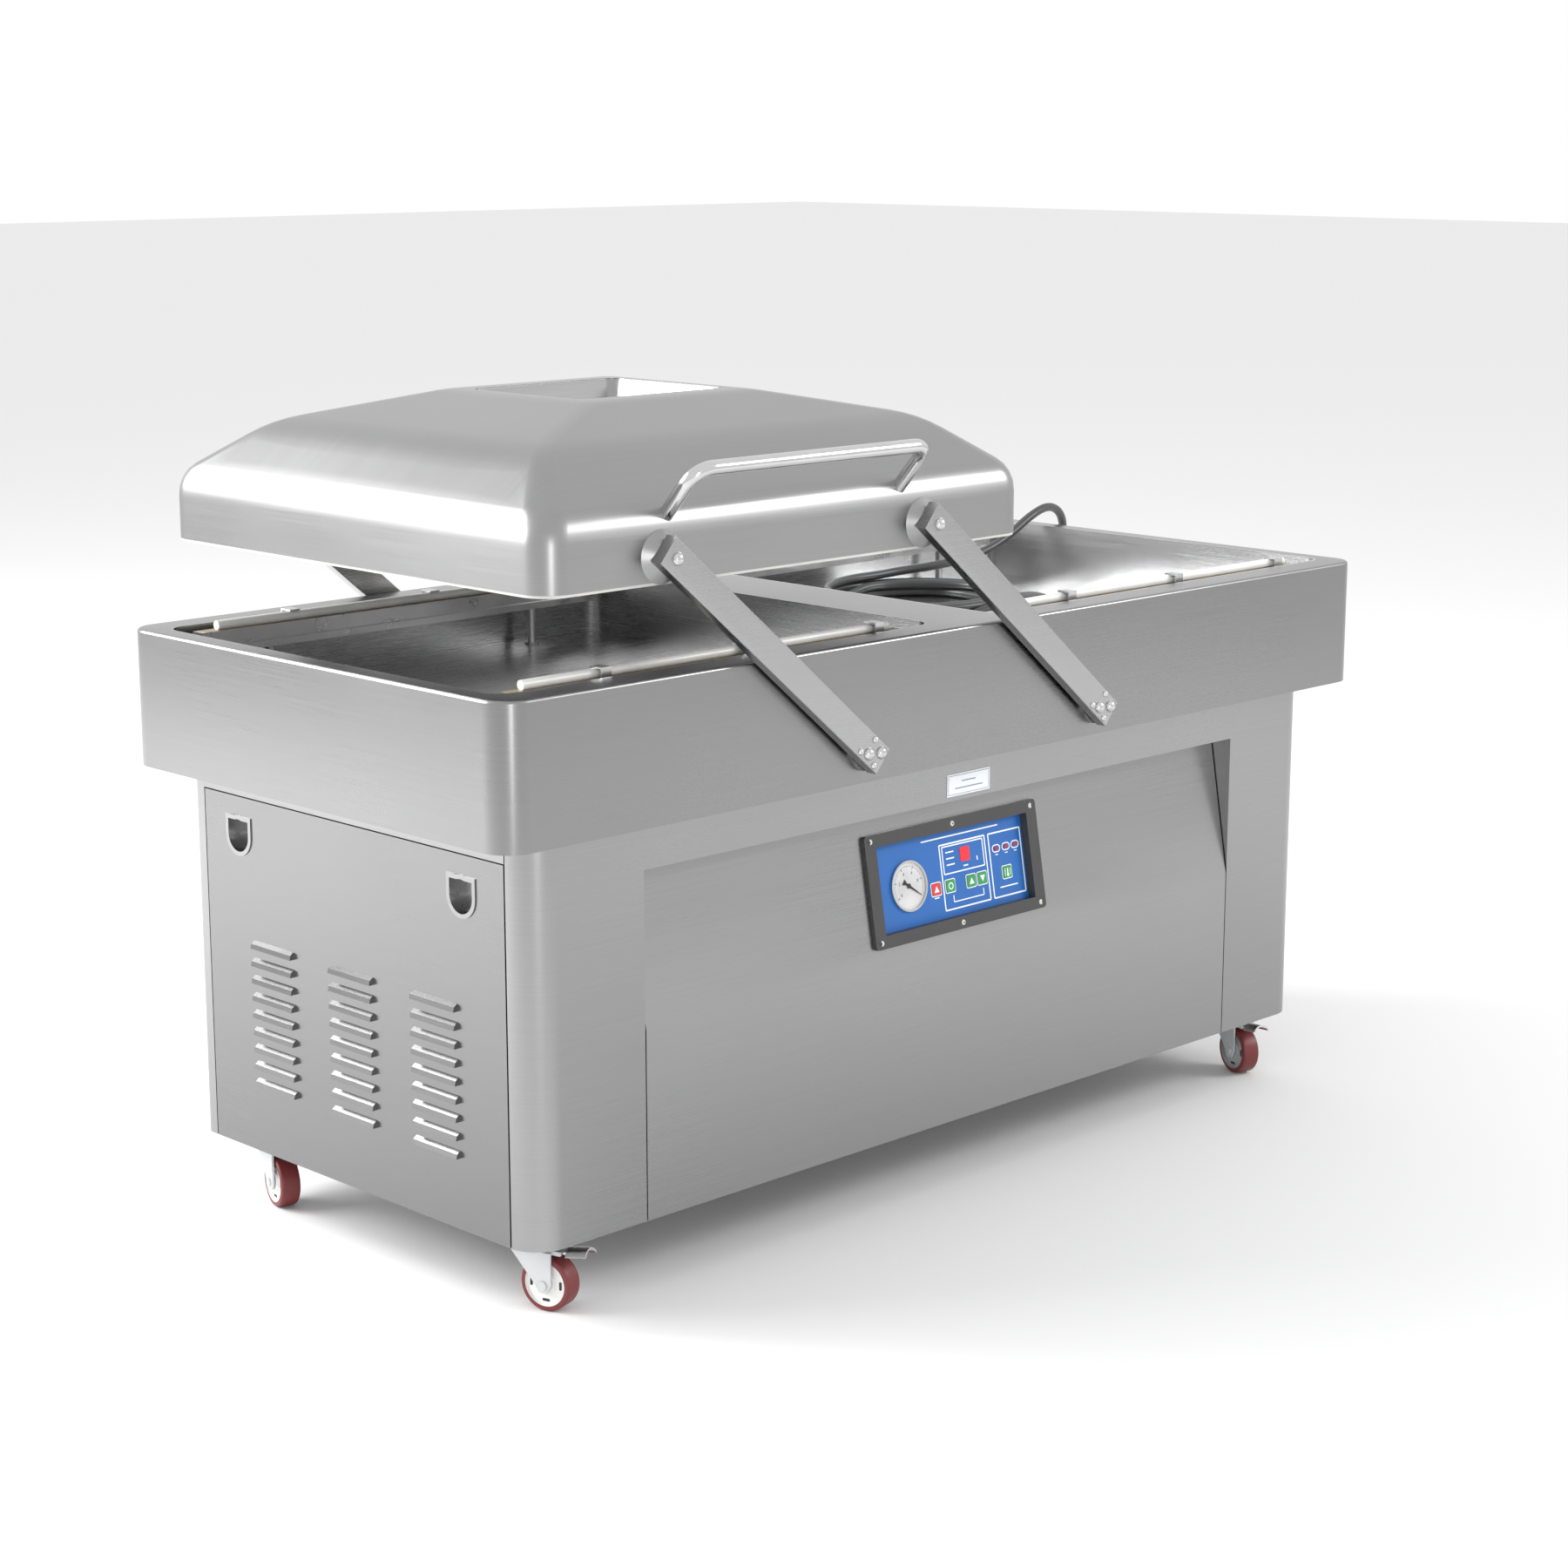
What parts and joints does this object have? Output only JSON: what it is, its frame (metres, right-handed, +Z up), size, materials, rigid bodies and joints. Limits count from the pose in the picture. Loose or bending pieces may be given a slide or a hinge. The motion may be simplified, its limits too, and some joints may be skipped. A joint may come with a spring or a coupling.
{
  "type": "double-chamber vacuum packing machine",
  "caption": "Double-chamber vacuum packing machine in stainless steel: one lid on parallel arms swings between two chambers, on a wheeled cabinet.",
  "frame": {"origin": "on the floor, under the middle of the machine's box without its cord", "axes": "+X along the machine to its right-hand chamber, -Y out of the control panel, +Z up"},
  "size_m": [1.5312, 0.8144, 0.9614],
  "materials": {
    "stainless": "brushed",
    "caster_fork_paint": "satin",
    "caster_tyre": "satin",
    "bright_steel": "bright",
    "seal_bar_aluminium": "satin",
    "clamp_rod_sleeve": "satin",
    "clear_pane": "clear",
    "silicone": "matte",
    "black_bezel": "satin",
    "blue_panel": "gloss",
    "gauge_white": "gloss",
    "needle_black": "satin",
    "display_red": "gloss",
    "button_red": "satin",
    "button_green": "satin",
    "nameplate_white": "satin",
    "pump_cast_iron": "painted",
    "transformer_paint": "satin",
    "valve_aluminium": "machined",
    "cord_rubber": "satin",
    "plug_plastic": "satin"
  },
  "bodies": {
    "base": {"tank_shell": "stainless", "chamber_pan_left": "stainless", "corner_post_left": "stainless", "side_panel_left": "stainless", "pull_cups_left": "stainless", "counter_spring_left": "bright_steel", "chamber_pan_right": "stainless", "corner_post_right": "stainless", "side_panel_right": "stainless", "pull_cups_right": "stainless", "counter_spring_right": "bright_steel", "cabinet_frame": "stainless", "front_cover": "stainless", "rear_panel": "stainless", "panel_bezel": "black_bezel", "panel_plate": "blue_panel", "vacuum_gauge": "gauge_white", "display_window": "display_red", "nameplate": "nameplate_white", "vacuum_pump": "pump_cast_iron", "transformer": "transformer_paint", "valve_block": "valve_aluminium", "power_cord": "cord_rubber", "cord_coil": "cord_rubber", "power_plug": "plug_plastic", "cord_gland": "plug_plastic"},
    "arms_left": {"arm_front_left": "stainless", "arm_rear_left": "stainless", "shaft_left": "bright_steel"},
    "arms_right": {"arm_front_right": "stainless", "arm_rear_right": "stainless", "shaft_right": "bright_steel"},
    "lid": {"lid_shell": "stainless", "lid_window": "clear_pane", "lid_window_frame": "stainless", "lid_gasket": "silicone", "lid_pads": "silicone", "lid_handle": "stainless"},
    "seal_bars_left": {"seal_bar_front_left": "seal_bar_aluminium", "seal_bar_rear_left": "seal_bar_aluminium", "clamp_rods_left": "clamp_rod_sleeve"},
    "seal_bars_right": {"seal_bar_front_right": "seal_bar_aluminium", "seal_bar_rear_right": "seal_bar_aluminium", "clamp_rods_right": "clamp_rod_sleeve"},
    "gauge_needle": {"gauge_needle": "needle_black"},
    "button_stop": {"button_stop": "button_red"},
    "button_set": {"button_set": "button_green"},
    "button_up": {"button_up": "button_green"},
    "button_down": {"button_down": "button_green"},
    "button_heat": {"button_heat": "button_red"},
    "fork_front_left": {"caster_fork_front_left": "caster_fork_paint"},
    "wheel_front_left": {"caster_wheel_front_left": "caster_tyre"},
    "pedal_front_left": {"brake_pedal_front_left": "bright_steel"},
    "fork_front_right": {"caster_fork_front_right": "caster_fork_paint"},
    "wheel_front_right": {"caster_wheel_front_right": "caster_tyre"},
    "pedal_front_right": {"brake_pedal_front_right": "bright_steel"},
    "fork_rear_left": {"caster_fork_rear_left": "caster_fork_paint"},
    "wheel_rear_left": {"caster_wheel_rear_left": "caster_tyre"},
    "fork_rear_right": {"caster_fork_rear_right": "caster_fork_paint"},
    "wheel_rear_right": {"caster_wheel_rear_right": "caster_tyre"}
  },
  "joints": [
    {"name": "lid_swing", "type": "hinge", "parent": "base", "child": "arms_left", "pos_m": [-0.211, 0.00874, 0.572], "axis": [0, 1, 0], "range_deg": [-16.7, 112.1], "deforming": ["counter_spring_left"]},
    {"name": "lid_pivot", "type": "hinge", "parent": "arms_left", "child": "lid", "pos_m": [-0.50833, 0.00874, 0.81972], "axis": [0, 1, 0], "range_deg": [-112.2, 16.8]},
    {"name": "right_arms_swing", "type": "hinge", "parent": "base", "child": "arms_right", "pos_m": [0.189, 0.00874, 0.572], "axis": [0, 1, 0], "range_deg": [-16.8, 112.2], "deforming": ["counter_spring_right"]},
    {"name": "seal_lift_left", "type": "slide", "parent": "base", "child": "seal_bars_left", "axis": [0, 0, 1], "range_m": [0, 0.008]},
    {"name": "seal_lift_right", "type": "slide", "parent": "base", "child": "seal_bars_right", "axis": [0, 0, 1], "range_m": [0, 0.008]},
    {"name": "gauge_needle_turn", "type": "hinge", "parent": "base", "child": "gauge_needle", "pos_m": [-0.075, -0.27351, 0.38274], "axis": [0, -0.9853, 0.1706], "range_deg": [0, 250], "stiffness_Nm_per_rad": 0.001},
    {"name": "button_stop_press", "type": "slide", "parent": "base", "child": "button_stop", "axis": [0, 0.9853, -0.1706], "range_m": [0, 0.0008], "stiffness_N_per_m": 900},
    {"name": "button_set_press", "type": "slide", "parent": "base", "child": "button_set", "axis": [0, 0.9853, -0.1706], "range_m": [0, 0.0008], "stiffness_N_per_m": 900},
    {"name": "button_up_press", "type": "slide", "parent": "base", "child": "button_up", "axis": [0, 0.9853, -0.1706], "range_m": [0, 0.0008], "stiffness_N_per_m": 900},
    {"name": "button_down_press", "type": "slide", "parent": "base", "child": "button_down", "axis": [0, 0.9853, -0.1706], "range_m": [0, 0.0008], "stiffness_N_per_m": 900},
    {"name": "button_heat_press", "type": "slide", "parent": "base", "child": "button_heat", "axis": [0, 0.9853, -0.1706], "range_m": [0, 0.0008], "stiffness_N_per_m": 900},
    {"name": "swivel_front_left", "type": "hinge", "parent": "base", "child": "fork_front_left", "pos_m": [-0.618, -0.22926, 0.075], "axis": [0, 0, 1], "continuous": true},
    {"name": "roll_front_left", "type": "hinge", "parent": "fork_front_left", "child": "wheel_front_left", "pos_m": [-0.61209, -0.24836, 0.031], "axis": [0.9553, 0.2957, 0], "continuous": true},
    {"name": "brake_front_left", "type": "hinge", "parent": "fork_front_left", "child": "pedal_front_left", "pos_m": [-0.60735, -0.26365, 0.068], "axis": [0.9553, 0.2957, 0], "range_deg": [0, 12]},
    {"name": "swivel_front_right", "type": "hinge", "parent": "base", "child": "fork_front_right", "pos_m": [0.618, -0.22926, 0.075], "axis": [0, 0, 1], "continuous": true},
    {"name": "roll_front_right", "type": "hinge", "parent": "fork_front_right", "child": "wheel_front_right", "pos_m": [0.61152, -0.24818, 0.031], "axis": [0.9461, -0.3239, 0], "continuous": true},
    {"name": "brake_front_right", "type": "hinge", "parent": "fork_front_right", "child": "pedal_front_right", "pos_m": [0.60634, -0.26332, 0.068], "axis": [0.9461, -0.3239, 0], "range_deg": [0, 12]},
    {"name": "swivel_rear_left", "type": "hinge", "parent": "base", "child": "fork_rear_left", "pos_m": [-0.618, 0.24674, 0.075], "axis": [0, 0, 1], "continuous": true},
    {"name": "roll_rear_left", "type": "hinge", "parent": "fork_rear_left", "child": "wheel_rear_left", "pos_m": [-0.62324, 0.22744, 0.031], "axis": [0.965, -0.2622, 0], "continuous": true},
    {"name": "swivel_rear_right", "type": "hinge", "parent": "base", "child": "fork_rear_right", "pos_m": [0.618, 0.24674, 0.075], "axis": [0, 0, 1], "continuous": true},
    {"name": "roll_rear_right", "type": "hinge", "parent": "fork_rear_right", "child": "wheel_rear_right", "pos_m": [0.62216, 0.22718, 0.031], "axis": [0.9781, 0.2079, 0], "continuous": true}
  ],
  "couplings": [
    {"joint": "lid_pivot", "follows": "lid_swing", "ratio": -1},
    {"joint": "right_arms_swing", "follows": "lid_swing", "ratio": 1}
  ]
}
